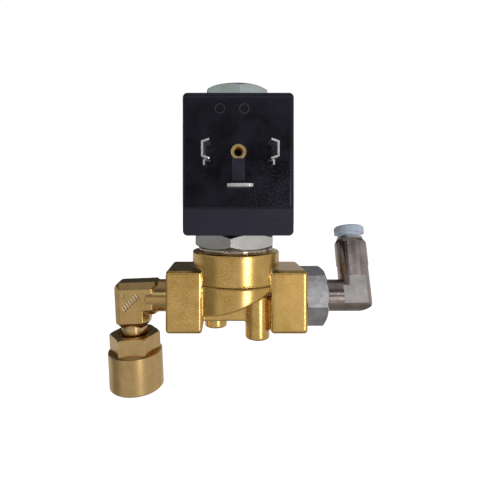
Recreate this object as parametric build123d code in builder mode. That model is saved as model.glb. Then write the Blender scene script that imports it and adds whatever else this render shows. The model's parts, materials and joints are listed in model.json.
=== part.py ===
from build123d import *
from math import cos, radians, sin, sqrt, tan
import os

os.makedirs("parts", exist_ok=True)

# Direct-acting brass solenoid valve with a swivel-socket elbow on its inlet and a push-in
# elbow for 6 mm tube on its outlet. All sizes are in millimetres and degrees.
# The origin is on the armature axis, in the plane of the two mounting bosses' feet.
# +Z runs up the armature, +X towards the outlet, and the connector faces -Y.

# Valve body: two square port blocks, a round drum between them, a web and two bosses below
PORT_Z = 12.05
BODY_END_X = 22.0
BLOCK_INNER_X = 10.6
BLOCK_WIDTH = 20.2
BLOCK_HEIGHT = 19.5
BLOCK_EDGE_R = 1.1
DRUM_R = 14.25
DRUM_LOWER_R = 14.05
DRUM_STEP_Z = 17.2
DRUM_TOP_Z = 27.2
UNDERSIDE_X = 14.5
UNDERSIDE_ARC = ((-UNDERSIDE_X, 7.0), (0, 10.3), (UNDERSIDE_X, 17.9))
WEB_WIDTH = 15.0
WEB_BOTTOM_Z = 5.5
WEB_TOP_Z = 12.0
WEB_OVERLAP = 1.0
BOSS_R = 3.8
BOSS_SITES = ((6.7, -6.0), (-6.7, 6.0))
BOSS_TOP_Z = 13.5
BOSS_HOLE_R = 1.65
BOSS_HOLE_DEPTH = 7.0
PORT_BORE_R = 6.58
PORT_DEPTH = 11.0
PASSAGE_R = 2.2
INLET_PASSAGE_Z = 16.2
OUTLET_PASSAGE_Z = 10.0
OUTLET_PASSAGE_R = 1.8
CHAMBER_R = 8.6
CHAMBER_FLOOR_Z = 15.2
CHAMBER_TOP_Z = 19.2
SEAT_R = 3.2
SEAT_RIM_R = 2.3
SEAT_Z = 17.0
SEAT_CONE = 0.9
ORIFICE_R = 1.5
GUIDE_BORE_R = 10.0
RING_BORE_R = 11.4
RING_BORE_DEPTH = 1.4

# Armature guide: plated hexagon base, thin tube, fixed core with its stud
COLLAR_R = 12.2
HEX_BOTTOM_Z = 28.2
HEX_TOP_Z = 33.3
GUIDE_AF = 24.3
GUIDE_CORNER = -98.0
SPIGOT_R = 9.9
TUBE_R = 6.5
TUBE_BORE_R = 5.85
TUBE_TOP_Z = 70.0
CORE_FACE_Z = 51.85
STUD_R = 5.85
STUD_TOP_Z = 79.2
STUD_CHAMFER = 0.8
SHADING_INNER_R = 3.5
SHADING_OUTER_R = 4.6
SHADING_DEPTH = 1.4
LOWER_SEAL_WIDTH = 3.0

# Plunger, closed on the seat
PLUNGER_R = 5.77
PLUNGER_BOTTOM_Z = 17.5
PLUNGER_TOP_Z = 50.0
PLUNGER_FOOT_CHAMFER = 0.7
PLUNGER_TOP_CHAMFER = 0.4
SEAL_R = 3.6
SEAL_TOP_Z = 19.6
SPRING_POCKET_R = 3.3
SPRING_POCKET_Z = 42.0
SPRING_COIL_R = 2.6
SPRING_WIRE_R = 0.35
SPRING_TURNS = 7
FLOW_GROOVES = 3
FLOW_GROOVE_DEPTH = 0.9
FLOW_GROOVE_WIDTH = 1.2

# Coil block and what is moulded into it
COIL_BOTTOM_Z = 33.85
COIL_TOP_Z = 73.0
COIL_WIDTH = 30.4
COIL_FRONT_Y = -24.7
COIL_BACK_Y = 15.0
COIL_FRONT_CORNER_R = 1.2
COIL_BACK_CORNER_R = 6.0
COIL_EDGE_R = 1.3
COIL_BORE_R = 6.75
BAND_TOP_Z = 41.7
BAND_DEPTH = 0.8
BAND_FOOT_DEPTH = 1.5
CAVITY_HALF_X = 11.2
CAVITY_FRONT_Y = -13.4
CAVITY_BACK_Y = 11.2
YOKE_BOTTOM_Z = 36.15
YOKE_TOP_Z = 70.8
YOKE_SHEET = 2.0
YOKE_POST_HALF_X = 6.0
BOBBIN_R = 7.8
FLANGE_R = 11.0
FLANGE_SHEET = 1.4
WINDING_R = 10.5

# Connector face
BLADE_TIP_Y = -37.5
BLADE_X = 9.15
BLADE_Z = 56.0
BLADE_BAR_HALF = 1.7
BLADE_ARM_HALF = 2.3
BLADE_ARM = 1.7
BLADE_SHEET = 0.5
SHOULDER_LENGTH = 4.0
SHOULDER_HEIGHT = 6.3
BLADE_ROOT_Y = -12.0
GROUND_Z = 47.3
GROUND_WIDTH = 6.3
GROUND_SHEET = 0.8
GROUND_TIP_CHAMFER = 0.9
GROUND_HOLE_R = 0.7
INSERT_Z = 56.7
INSERT_R = 2.1
INSERT_HOLE_R = 1.25
INSERT_LENGTH = 7.0
INSERT_PROUD = 0.25
RIB_HALF_X = 1.9
RIB_PROUD = 0.35

# Coil nut and its washer
WASHER_R = 8.9
WASHER_BORE_R = 6.0
WASHER_SHEET = 0.8
NUT_AF = 19.0
NUT_TOP_Z = 80.0
NUT_CORNER = -84.5

# Inlet elbow: a forged L, screwed in a little crooked, with its foot in towards the body and back
INLET_CORNER = (-34.2, 0, 11.65)
INLET_LEAN = 2.2
INLET_TILT = 2.5
ELBOW_OUTER_X = 5.25
ELBOW_INNER_X = 5.8
ELBOW_HALF_Z = 5.35
ELBOW_HALF_Y = 5.0
ELBOW_BEVEL = 1.9
ELBOW_CORNER_R = 2.0
ELBOW_BLOCK_END = 9.0
ELBOW_LEG_END = 9.6
ELBOW_ROUND_R = 5.25
ELBOW_FOOT_R = 4.5
ELBOW_BLEND = 3.0
ELBOW_ROUND_START = 8.7
ELBOW_FOOT_START = 9.4
THREAD_R = 6.5
THREAD_LENGTH = 9.5
INLET_BORE_R = 3.0
NECK_R = 4.15
NECK_BORE_R = 2.2
NECK_END = 20.9
NECK_RING_GROOVE = (15.0, 17.0)
NECK_RING_FLOOR_R = 3.0
CLIP_GROOVE = (19.6, 20.3)
CLIP_FLOOR_R = 3.4
SEAL_GAP = 0.05

# Swivel socket, measured down the elbow's leg from the port axis
SOCKET_TOP = 12.05
SOCKET_HEX_END = 17.45
SOCKET_END = 30.0
SOCKET_AF = 14.5
SOCKET_CORNER = -3.7
SOCKET_BEVEL_INSET = -0.5
SOCKET_R = 8.9
SOCKET_EDGE = 0.5
SOCKET_MOUTH_R = 5.3
SOCKET_MOUTH_DEPTH = 1.3
SOCKET_BORE_R = 4.22
SOCKET_LEDGE = 19.55
CLIP_POCKET_R = 5.5
CLIP_POCKET_END = 21.2
SOCKET_THREAD_R = 5.75
SOCKET_COUNTERSINK = 0.85
CLIP_R = 5.1

# Outlet stem and push-in elbow
STEM_AF = 17.0
STEM_CORNER = 9.0
STEM_END_X = 29.0
STEM_BORE_R = 3.45
STEM_BORE_X = 23.4
STEM_PASSAGE_R = 2.4
STEM_CLIP_GROOVE_R = 4.1
FACE_RING_R = 7.1
FACE_RING_WIRE_R = 0.5
OUTLET_X = 39.75
OUTLET_TILT = 19.0
RUN_START_X = 29.15
RUN_R = 5.15
RISER_R = 5.3
RISER_LOWER_R = 5.1
RISER_STEP = 9.8
RISER_END = 17.4
RISER_SHOULDER = 1.3
SHOULDER_R = 4.45
RISER_CORNER_R = 4.9
JOURNAL_R = 3.4
JOURNAL_END_X = 23.6
JOURNAL_PASSAGE_R = 1.7
JOURNAL_RING_X = 25.4
JOURNAL_RING_HALF = 0.7
JOURNAL_RING_FLOOR_R = 2.4
CLIP_X = 27.5
CLIP_WIRE_R = 0.4
CLIP_RING_R = 3.5
CLIP_PLAY = 0.1
FLAT_DEPTH = 4.35
FLAT_RUN_END = 5.05
FLAT_RISER_END = 5.9
TUBE_R_OUTSIDE = 3.05
TUBE_STOP = 8.0
CARTRIDGE_R = 4.3
CARTRIDGE_START = 11.0
TUBE_SEAL_END = 12.3
GRAB_START = 12.5
GRAB_SHEET = 0.3
GRAB_SLOTS = 8
GRAB_SLOT_WIDTH = 0.5
SLEEVE_START = 14.2
SLEEVE_END = 19.5
SLEEVE_BORE_R = 3.85
COLLET_START = 14.6
COLLET_R = 3.7
COLLET_FLANGE_R = 5.05
COLLET_FLANGE_START = 20.85
COLLET_END = 23.2
COLLET_MOUTH = 0.4

HEX_BEVEL_INSET = 0.3
BLOCK_LENGTH = BODY_END_X - BLOCK_INNER_X
BLOCK_MID_X = (BODY_END_X + BLOCK_INNER_X) / 2
COIL_HEIGHT = COIL_TOP_Z - COIL_BOTTOM_Z

LEAN_SIN, LEAN_COS = sin(radians(INLET_LEAN)), cos(radians(INLET_LEAN))
BACK_SIN, BACK_COS = sin(radians(INLET_TILT)), cos(radians(INLET_TILT))
TILT_SIN, TILT_COS = sin(radians(OUTLET_TILT)), cos(radians(OUTLET_TILT))

AXIS = Plane.XY
PORT = Plane(origin=(0, 0, PORT_Z), x_dir=(0, 1, 0), z_dir=(1, 0, 0))
FRONT = Plane.XZ.offset(-COIL_FRONT_Y)
INLET_ALONG = (LEAN_COS, 0, LEAN_SIN)
INLET_DOWN = (LEAN_SIN * BACK_COS, BACK_SIN, -LEAN_COS * BACK_COS)
INLET_FORWARD = (LEAN_SIN * BACK_SIN, -BACK_COS, -LEAN_COS * BACK_SIN)
INLET_LEG = Plane(INLET_CORNER, x_dir=INLET_ALONG, z_dir=INLET_DOWN)
INLET_FACE = Plane(INLET_CORNER, x_dir=INLET_ALONG, z_dir=INLET_FORWARD)
OUTLET_LEG = Plane((OUTLET_X, 0, PORT_Z), x_dir=(1, 0, 0), z_dir=(0, TILT_SIN, TILT_COS))
OUTLET_FACE = Plane((OUTLET_X, 0, PORT_Z), x_dir=(1, 0, 0), z_dir=(0, -TILT_COS, TILT_SIN))
OUTLET_MITRE = Plane((OUTLET_X, 0, PORT_Z), x_dir=(0, TILT_COS, -TILT_SIN), z_dir=(1, TILT_SIN, TILT_COS))


def turn(plane, *outline, mode=Mode.ADD):
    """Revolve a closed outline of (radius, height) points about the plane's normal."""
    half = Plane(origin=plane.origin, x_dir=plane.x_dir, z_dir=-plane.y_dir)
    with BuildSketch(half) as profile:
        with BuildLine():
            Polyline(*outline, close=True)
        make_face()
    revolve(profile.sketch, axis=Axis(plane.origin, plane.z_dir), mode=mode)


def ring(plane, inner_r, outer_r, start, end, mode=Mode.ADD):
    """A flat ring, or a disc where inner_r is 0, between two heights above the plane."""
    turn(plane, (inner_r, start), (outer_r, start), (outer_r, end), (inner_r, end), mode=mode)


def wire_ring(plane, ring_r, wire_r, height):
    """A ring of round section, such as an O-ring, centred on the plane's normal."""
    half = Plane(origin=plane.origin, x_dir=plane.x_dir, z_dir=-plane.y_dir)
    with BuildSketch(half) as section:
        with Locations((ring_r, height)):
            Circle(wire_r)
    revolve(section.sketch, axis=Axis(plane.origin, plane.z_dir))


def hexagon(plane, across_flats, corner, start, end):
    """A hexagonal prism between two heights, with one corner at the given angle."""
    with BuildSketch(plane.offset(start)) as section:
        RegularPolygon(across_flats / 2, 6, major_radius=False, rotation=corner)
    extrude(section.sketch, amount=end - start)


def round_off_hexagon(plane, across_flats, start, end, inset, start_bevel=True, end_bevel=True):
    """Turn a hexagon's ends down at 30 degrees, from a circle that lies inset inside its flats."""
    flat_r = across_flats / 2 - inset
    corner_r = across_flats / sqrt(3)
    bevel = (corner_r - flat_r) * tan(radians(30))
    outline = [(0, start)]
    if start_bevel:
        outline += [(flat_r, start), (corner_r, start + bevel)]
    else:
        outline += [(corner_r, start)]
    if end_bevel:
        outline += [(corner_r, end - bevel), (flat_r, end)]
    else:
        outline += [(corner_r, end)]
    outline += [(0, end)]
    turn(plane, *outline, mode=Mode.INTERSECT)


def blend_to_round(plane, radius, end):
    """Turn the end of a square leg down at 45 degrees to a round of the given radius."""
    outer_r = radius + ELBOW_BLEND
    past_end = end + ELBOW_BLEND
    turn(
        plane,
        (radius, end),
        (radius, past_end),
        (outer_r, past_end),
        (outer_r, end - ELBOW_BLEND),
        mode=Mode.SUBTRACT,
    )


def save(piece, name):
    """Label a finished piece and write it as its own STEP file."""
    piece.part.label = name
    export_step(piece.part, f"parts/{name}.step")


# ---- Valve body --------------------------------------------------------------------------

# The drum, with its dished underside that climbs towards the outlet
with BuildPart() as drum:
    ring(AXIS, 0, DRUM_LOWER_R, 0, DRUM_STEP_Z)
    ring(AXIS, 0, DRUM_R, DRUM_STEP_Z, DRUM_TOP_Z)
    with BuildSketch(Plane.XZ) as below:
        with BuildLine():
            underside = ThreePointArc(*UNDERSIDE_ARC)
            Polyline(underside @ 1, (UNDERSIDE_X, -1), (-UNDERSIDE_X, -1), underside @ 0)
        make_face()
    extrude(amount=2 * DRUM_R, both=True, mode=Mode.SUBTRACT)

with BuildPart() as valve_body:
    with Locations((-BLOCK_MID_X, 0, PORT_Z), (BLOCK_MID_X, 0, PORT_Z)):
        Box(BLOCK_LENGTH, BLOCK_WIDTH, BLOCK_HEIGHT)
    fillet(valve_body.edges(), BLOCK_EDGE_R)
    with BuildSketch(Plane.XY.offset(WEB_BOTTOM_Z)):
        Rectangle(2 * BLOCK_INNER_X + 2 * WEB_OVERLAP, WEB_WIDTH)
    extrude(amount=WEB_TOP_Z - WEB_BOTTOM_Z)
    add(drum.part)
    with BuildSketch(Plane.XY):
        with Locations(*BOSS_SITES):
            Circle(BOSS_R)
    extrude(amount=BOSS_TOP_Z)
    # Both ports and the passages to and from the chamber
    for side in (-1, 1):
        with BuildSketch(PORT.offset(side * BODY_END_X)):
            Circle(PORT_BORE_R)
        extrude(amount=-side * PORT_DEPTH, mode=Mode.SUBTRACT)
    with BuildSketch(PORT.offset(-BODY_END_X + PORT_DEPTH)):
        with Locations((0, INLET_PASSAGE_Z - PORT_Z)):
            Circle(PASSAGE_R)
    extrude(amount=PORT_DEPTH / 2, mode=Mode.SUBTRACT)
    with BuildSketch(PORT):
        with Locations((0, OUTLET_PASSAGE_Z - PORT_Z)):
            Circle(OUTLET_PASSAGE_R)
    extrude(amount=BODY_END_X - PORT_DEPTH, mode=Mode.SUBTRACT)
    # Chamber, thread for the guide and the O-ring's counterbore
    ring(AXIS, 0, CHAMBER_R, CHAMBER_FLOOR_Z, CHAMBER_TOP_Z, mode=Mode.SUBTRACT)
    ring(AXIS, 0, GUIDE_BORE_R, CHAMBER_TOP_Z, DRUM_TOP_Z, mode=Mode.SUBTRACT)
    ring(AXIS, 0, RING_BORE_R, DRUM_TOP_Z - RING_BORE_DEPTH, DRUM_TOP_Z, mode=Mode.SUBTRACT)
    # Seat nozzle round the orifice
    turn(
        AXIS,
        (0, CHAMBER_FLOOR_Z),
        (SEAT_R, CHAMBER_FLOOR_Z),
        (SEAT_R, SEAT_Z - SEAT_CONE),
        (SEAT_RIM_R, SEAT_Z),
        (0, SEAT_Z),
    )
    ring(AXIS, 0, ORIFICE_R, OUTLET_PASSAGE_Z, SEAT_Z, mode=Mode.SUBTRACT)
    with BuildSketch(Plane.XY):
        with Locations(*BOSS_SITES):
            Circle(BOSS_HOLE_R)
    extrude(amount=BOSS_HOLE_DEPTH, mode=Mode.SUBTRACT)
save(valve_body, "valve_body")

# ---- Armature guide ----------------------------------------------------------------------

with BuildPart() as guide_base:
    hexagon(AXIS, GUIDE_AF, GUIDE_CORNER, HEX_BOTTOM_Z, HEX_TOP_Z)
    round_off_hexagon(AXIS, GUIDE_AF, HEX_BOTTOM_Z, HEX_TOP_Z, HEX_BEVEL_INSET)
    ring(AXIS, 0, COLLAR_R, DRUM_TOP_Z, HEX_BOTTOM_Z)
    ring(AXIS, 0, SPIGOT_R, CHAMBER_TOP_Z, DRUM_TOP_Z)
    ring(AXIS, 0, TUBE_R, CHAMBER_TOP_Z, HEX_TOP_Z, mode=Mode.SUBTRACT)
save(guide_base, "guide_base")

with BuildPart() as body_seal_ring:
    wire_r = RING_BORE_DEPTH / 2
    wire_ring(AXIS, RING_BORE_R - wire_r, wire_r, DRUM_TOP_Z - wire_r)
save(body_seal_ring, "body_seal_ring")

with BuildPart() as guide_tube:
    ring(AXIS, TUBE_BORE_R, TUBE_R, CHAMBER_TOP_Z, TUBE_TOP_Z)
save(guide_tube, "guide_tube")

with BuildPart() as fixed_core:
    ring(AXIS, 0, TUBE_BORE_R, CORE_FACE_Z, TUBE_TOP_Z)
    ring(AXIS, 0, TUBE_R, TUBE_TOP_Z, COIL_TOP_Z)
    turn(
        AXIS,
        (0, COIL_TOP_Z),
        (STUD_R, COIL_TOP_Z),
        (STUD_R, STUD_TOP_Z - STUD_CHAMFER),
        (STUD_R - STUD_CHAMFER, STUD_TOP_Z),
        (0, STUD_TOP_Z),
    )
    groove_end = CORE_FACE_Z + SHADING_DEPTH
    ring(AXIS, SHADING_INNER_R, SHADING_OUTER_R, CORE_FACE_Z, groove_end, mode=Mode.SUBTRACT)
save(fixed_core, "fixed_core")

with BuildPart() as shading_ring:
    ring(AXIS, SHADING_INNER_R, SHADING_OUTER_R, CORE_FACE_Z, groove_end)
save(shading_ring, "shading_ring")

with BuildPart() as coil_lower_seal:
    ring(AXIS, TUBE_R, TUBE_R + LOWER_SEAL_WIDTH, HEX_TOP_Z, COIL_BOTTOM_Z)
save(coil_lower_seal, "coil_lower_seal")

# ---- Plunger -----------------------------------------------------------------------------

with BuildPart() as plunger:
    turn(
        AXIS,
        (0, PLUNGER_BOTTOM_Z),
        (PLUNGER_R - PLUNGER_FOOT_CHAMFER, PLUNGER_BOTTOM_Z),
        (PLUNGER_R, PLUNGER_BOTTOM_Z + PLUNGER_FOOT_CHAMFER),
        (PLUNGER_R, PLUNGER_TOP_Z - PLUNGER_TOP_CHAMFER),
        (PLUNGER_R - PLUNGER_TOP_CHAMFER, PLUNGER_TOP_Z),
        (0, PLUNGER_TOP_Z),
    )
    ring(AXIS, 0, SEAL_R, PLUNGER_BOTTOM_Z, SEAL_TOP_Z, mode=Mode.SUBTRACT)
    ring(AXIS, 0, SPRING_POCKET_R, SPRING_POCKET_Z, PLUNGER_TOP_Z, mode=Mode.SUBTRACT)
    # Grooves that let fluid past the plunger as it moves
    plunger_length = PLUNGER_TOP_Z - PLUNGER_BOTTOM_Z
    with Locations((0, 0, PLUNGER_BOTTOM_Z + plunger_length / 2)):
        with PolarLocations(PLUNGER_R, FLOW_GROOVES):
            Box(2 * FLOW_GROOVE_DEPTH, FLOW_GROOVE_WIDTH, plunger_length, mode=Mode.SUBTRACT)
save(plunger, "plunger")

with BuildPart() as plunger_seal:
    ring(AXIS, 0, SEAL_R, SEAT_Z, SEAL_TOP_Z)
save(plunger_seal, "plunger_seal")

with BuildPart() as plunger_spring:
    spring_start = SPRING_POCKET_Z + SPRING_WIRE_R
    spring_height = CORE_FACE_Z - SPRING_POCKET_Z - 2 * SPRING_WIRE_R
    with BuildLine(Plane.XY.offset(spring_start)):
        coils = Helix(spring_height / SPRING_TURNS, spring_height, SPRING_COIL_R)
    with BuildSketch(Plane(origin=coils @ 0, z_dir=coils % 0)):
        Circle(SPRING_WIRE_R)
    sweep(is_frenet=True)
save(plunger_spring, "plunger_spring")

# ---- Coil --------------------------------------------------------------------------------

with BuildPart() as coil_housing:
    with BuildSketch(Plane.XY.offset(COIL_BOTTOM_Z)) as coil_plan:
        with Locations((0, (COIL_FRONT_Y + COIL_BACK_Y) / 2)):
            Rectangle(COIL_WIDTH, COIL_BACK_Y - COIL_FRONT_Y)
        fillet(coil_plan.vertices().group_by(Axis.Y)[0], COIL_FRONT_CORNER_R)
        fillet(coil_plan.vertices().group_by(Axis.Y)[-1], COIL_BACK_CORNER_R)
    extrude(amount=COIL_HEIGHT)
    fillet(coil_housing.faces().sort_by(Axis.Z)[-1].edges(), COIL_EDGE_R)
    fillet(coil_housing.faces().sort_by(Axis.Z)[0].edges(), COIL_EDGE_R)
    # The lower band of the front face stands back from the connector pad, and slopes under it
    with BuildSketch(Plane.YZ):
        with BuildLine():
            Polyline(
                (COIL_FRONT_Y - 1, BAND_TOP_Z),
                (COIL_FRONT_Y + BAND_DEPTH, BAND_TOP_Z),
                (COIL_FRONT_Y + BAND_FOOT_DEPTH, COIL_BOTTOM_Z),
                (COIL_FRONT_Y - 1, COIL_BOTTOM_Z),
                close=True,
            )
        make_face()
    extrude(amount=COIL_WIDTH / 2, both=True, mode=Mode.SUBTRACT)
    # Smooth rib between the earth blade and the screw insert
    with BuildSketch(FRONT):
        with Locations((0, (GROUND_Z + INSERT_Z) / 2)):
            Rectangle(2 * RIB_HALF_X, INSERT_Z - GROUND_Z)
    extrude(amount=RIB_PROUD)
    # Space of the winding and the yoke
    cavity_depth = CAVITY_BACK_Y - CAVITY_FRONT_Y
    with BuildSketch(Plane.XY.offset(YOKE_BOTTOM_Z)):
        with Locations((0, (CAVITY_FRONT_Y + CAVITY_BACK_Y) / 2)):
            Rectangle(2 * CAVITY_HALF_X, cavity_depth)
    extrude(amount=YOKE_TOP_Z - YOKE_BOTTOM_Z, mode=Mode.SUBTRACT)
    ring(AXIS, 0, COIL_BORE_R, COIL_BOTTOM_Z, COIL_TOP_Z, mode=Mode.SUBTRACT)
    # Pockets of the blades and of the insert
    with BuildSketch(FRONT):
        with Locations((-BLADE_X, BLADE_Z), (BLADE_X, BLADE_Z)):
            Rectangle(BLADE_SHEET, SHOULDER_HEIGHT)
        with Locations((0, GROUND_Z)):
            Rectangle(GROUND_WIDTH, GROUND_SHEET)
    extrude(amount=COIL_FRONT_Y - CAVITY_FRONT_Y - BLADE_SHEET, mode=Mode.SUBTRACT)
    with BuildSketch(FRONT.offset(RIB_PROUD)):
        with Locations((0, INSERT_Z)):
            Circle(INSERT_R)
    extrude(amount=-INSERT_LENGTH - RIB_PROUD, mode=Mode.SUBTRACT)
    # The rib stops clear of the earth blade
    with BuildSketch(FRONT):
        with Locations((0, GROUND_Z)):
            Rectangle(GROUND_WIDTH, GROUND_SHEET)
    extrude(amount=RIB_PROUD, mode=Mode.SUBTRACT)
save(coil_housing, "coil_housing")

with BuildPart() as bobbin:
    ring(AXIS, COIL_BORE_R, BOBBIN_R, YOKE_BOTTOM_Z + YOKE_SHEET, YOKE_TOP_Z - YOKE_SHEET)
    for flange_z in (YOKE_BOTTOM_Z + YOKE_SHEET, YOKE_TOP_Z - YOKE_SHEET - FLANGE_SHEET):
        ring(AXIS, COIL_BORE_R, FLANGE_R, flange_z, flange_z + FLANGE_SHEET)
save(bobbin, "bobbin")

with BuildPart() as winding:
    winding_bottom = YOKE_BOTTOM_Z + YOKE_SHEET + FLANGE_SHEET
    winding_top = YOKE_TOP_Z - YOKE_SHEET - FLANGE_SHEET
    ring(AXIS, BOBBIN_R, WINDING_R, winding_bottom, winding_top)
save(winding, "winding")

with BuildPart() as yoke_frame:
    plate_depth = CAVITY_BACK_Y - CAVITY_FRONT_Y
    for plate_z in (YOKE_BOTTOM_Z, YOKE_TOP_Z - YOKE_SHEET):
        with BuildSketch(Plane.XY.offset(plate_z)):
            with Locations((0, (CAVITY_FRONT_Y + CAVITY_BACK_Y) / 2)):
                Rectangle(2 * CAVITY_HALF_X, plate_depth)
            Circle(COIL_BORE_R, mode=Mode.SUBTRACT)
        extrude(amount=YOKE_SHEET)
    with BuildSketch(Plane.XY.offset(YOKE_BOTTOM_Z)):
        with Locations((0, CAVITY_FRONT_Y + YOKE_SHEET / 2)):
            Rectangle(2 * YOKE_POST_HALF_X, YOKE_SHEET)
    extrude(amount=YOKE_TOP_Z - YOKE_BOTTOM_Z)
save(yoke_frame, "yoke_frame")

# The two coil blades are folded into channels whose lips point at each other
for side, name in ((-1, "terminal_left"), (1, "terminal_right")):
    with BuildPart() as terminal:
        with BuildSketch(FRONT.offset(SHOULDER_LENGTH)):
            with BuildLine():
                Polyline(
                    (side * (BLADE_X - BLADE_ARM), BLADE_Z + BLADE_ARM_HALF),
                    (side * BLADE_X, BLADE_Z + BLADE_BAR_HALF),
                    (side * BLADE_X, BLADE_Z - BLADE_BAR_HALF),
                    (side * (BLADE_X - BLADE_ARM), BLADE_Z - BLADE_ARM_HALF),
                )
            trace(line_width=BLADE_SHEET)
        extrude(amount=COIL_FRONT_Y - BLADE_TIP_Y - SHOULDER_LENGTH)
        with BuildSketch(FRONT.offset(SHOULDER_LENGTH)):
            with Locations((side * BLADE_X, BLADE_Z)):
                Rectangle(BLADE_SHEET, SHOULDER_HEIGHT)
        extrude(amount=COIL_FRONT_Y - BLADE_ROOT_Y - SHOULDER_LENGTH)
    save(terminal, name)

with BuildPart() as ground_terminal:
    with BuildSketch(Plane.XY.offset(GROUND_Z - GROUND_SHEET / 2)) as blade_plan:
        with Locations((0, (BLADE_TIP_Y + CAVITY_FRONT_Y) / 2)):
            Rectangle(GROUND_WIDTH, CAVITY_FRONT_Y - BLADE_TIP_Y)
        chamfer(blade_plan.vertices().group_by(Axis.Y)[0], GROUND_TIP_CHAMFER)
        with Locations((0, (BLADE_TIP_Y + COIL_FRONT_Y) / 2)):
            Circle(GROUND_HOLE_R, mode=Mode.SUBTRACT)
    extrude(amount=GROUND_SHEET)
save(ground_terminal, "ground_terminal")

with BuildPart() as screw_insert:
    with BuildSketch(FRONT.offset(RIB_PROUD + INSERT_PROUD)):
        with Locations((0, INSERT_Z)):
            Circle(INSERT_R)
            Circle(INSERT_HOLE_R, mode=Mode.SUBTRACT)
    extrude(amount=-INSERT_LENGTH - RIB_PROUD - INSERT_PROUD)
save(screw_insert, "screw_insert")

with BuildPart() as lock_washer:
    ring(AXIS, WASHER_BORE_R, WASHER_R, COIL_TOP_Z, COIL_TOP_Z + WASHER_SHEET)
save(lock_washer, "lock_washer")

with BuildPart() as coil_nut:
    hexagon(AXIS, NUT_AF, NUT_CORNER, COIL_TOP_Z + WASHER_SHEET, NUT_TOP_Z)
    round_off_hexagon(AXIS, NUT_AF, COIL_TOP_Z + WASHER_SHEET, NUT_TOP_Z, HEX_BEVEL_INSET)
    ring(AXIS, 0, STUD_R, COIL_TOP_Z, NUT_TOP_Z, mode=Mode.SUBTRACT)
save(coil_nut, "coil_nut")

# ---- Inlet elbow and its swivel socket ---------------------------------------------------

with BuildPart() as inlet_elbow:
    with BuildSketch(INLET_FACE.offset(-ELBOW_HALF_Y)) as elbow_side:
        with BuildLine():
            Polyline(
                (-ELBOW_OUTER_X, ELBOW_HALF_Z),
                (ELBOW_BLOCK_END, ELBOW_HALF_Z),
                (ELBOW_BLOCK_END, -ELBOW_HALF_Z),
                (ELBOW_INNER_X, -ELBOW_HALF_Z),
                (ELBOW_INNER_X, -ELBOW_LEG_END),
                (-ELBOW_OUTER_X, -ELBOW_LEG_END),
                close=True,
            )
        make_face()
        outer_corner = elbow_side.vertices().sort_by(Axis.X)[:2].sort_by(Axis.Y)[-1]
        fillet(outer_corner, ELBOW_CORNER_R)
    extrude(amount=2 * ELBOW_HALF_Y)
    side_faces = inlet_elbow.faces().filter_by(INLET_FACE)
    chamfer(side_faces.edges(), ELBOW_BEVEL)
    blend_to_round(PORT, ELBOW_ROUND_R, INLET_CORNER[0] + ELBOW_ROUND_START)
    blend_to_round(INLET_LEG, ELBOW_FOOT_R, ELBOW_FOOT_START)
    ring(PORT, 0, ELBOW_ROUND_R, INLET_CORNER[0] + ELBOW_HALF_Y, -BODY_END_X)
    ring(PORT, 0, THREAD_R, -BODY_END_X, -BODY_END_X + THREAD_LENGTH)
    ring(INLET_LEG, 0, NECK_R, 0, NECK_END)
    ring(INLET_LEG, NECK_RING_FLOOR_R, NECK_R, *NECK_RING_GROOVE, mode=Mode.SUBTRACT)
    ring(INLET_LEG, CLIP_FLOOR_R, NECK_R, *CLIP_GROOVE, mode=Mode.SUBTRACT)
    ring(PORT, 0, INLET_BORE_R, INLET_CORNER[0], -BODY_END_X + THREAD_LENGTH, mode=Mode.SUBTRACT)
    ring(INLET_LEG, 0, NECK_BORE_R, 0, NECK_END, mode=Mode.SUBTRACT)
save(inlet_elbow, "inlet_elbow")

with BuildPart() as swivel_o_ring:
    wire_r = (SOCKET_BORE_R - SEAL_GAP - NECK_RING_FLOOR_R) / 2
    wire_ring(INLET_LEG, NECK_RING_FLOOR_R + wire_r, wire_r, sum(NECK_RING_GROOVE) / 2)
save(swivel_o_ring, "swivel_o_ring")

with BuildPart() as swivel_clip:
    ring(INLET_LEG, CLIP_FLOOR_R, CLIP_R, *CLIP_GROOVE)
save(swivel_clip, "swivel_clip")

with BuildPart() as swivel_socket:
    hexagon(INLET_LEG, SOCKET_AF, SOCKET_CORNER, SOCKET_TOP, SOCKET_HEX_END)
    round_off_hexagon(
        INLET_LEG, SOCKET_AF, SOCKET_TOP, SOCKET_HEX_END, SOCKET_BEVEL_INSET, end_bevel=False
    )
    turn(
        INLET_LEG,
        (0, SOCKET_HEX_END),
        (SOCKET_R - SOCKET_EDGE, SOCKET_HEX_END),
        (SOCKET_R, SOCKET_HEX_END + SOCKET_EDGE),
        (SOCKET_R, SOCKET_END - SOCKET_EDGE),
        (SOCKET_R - SOCKET_EDGE, SOCKET_END),
        (0, SOCKET_END),
    )
    turn(
        INLET_LEG,
        (0, SOCKET_TOP),
        (SOCKET_MOUTH_R, SOCKET_TOP),
        (SOCKET_MOUTH_R, SOCKET_TOP + SOCKET_MOUTH_DEPTH),
        (SOCKET_BORE_R, SOCKET_TOP + SOCKET_MOUTH_DEPTH),
        (SOCKET_BORE_R, SOCKET_LEDGE),
        (CLIP_POCKET_R, SOCKET_LEDGE),
        (CLIP_POCKET_R, CLIP_POCKET_END),
        (SOCKET_THREAD_R, CLIP_POCKET_END),
        (SOCKET_THREAD_R, SOCKET_END - SOCKET_COUNTERSINK),
        (SOCKET_THREAD_R + SOCKET_COUNTERSINK, SOCKET_END),
        (0, SOCKET_END),
        mode=Mode.SUBTRACT,
    )
save(swivel_socket, "swivel_socket")

# ---- Outlet stem and push-in elbow -------------------------------------------------------

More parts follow.
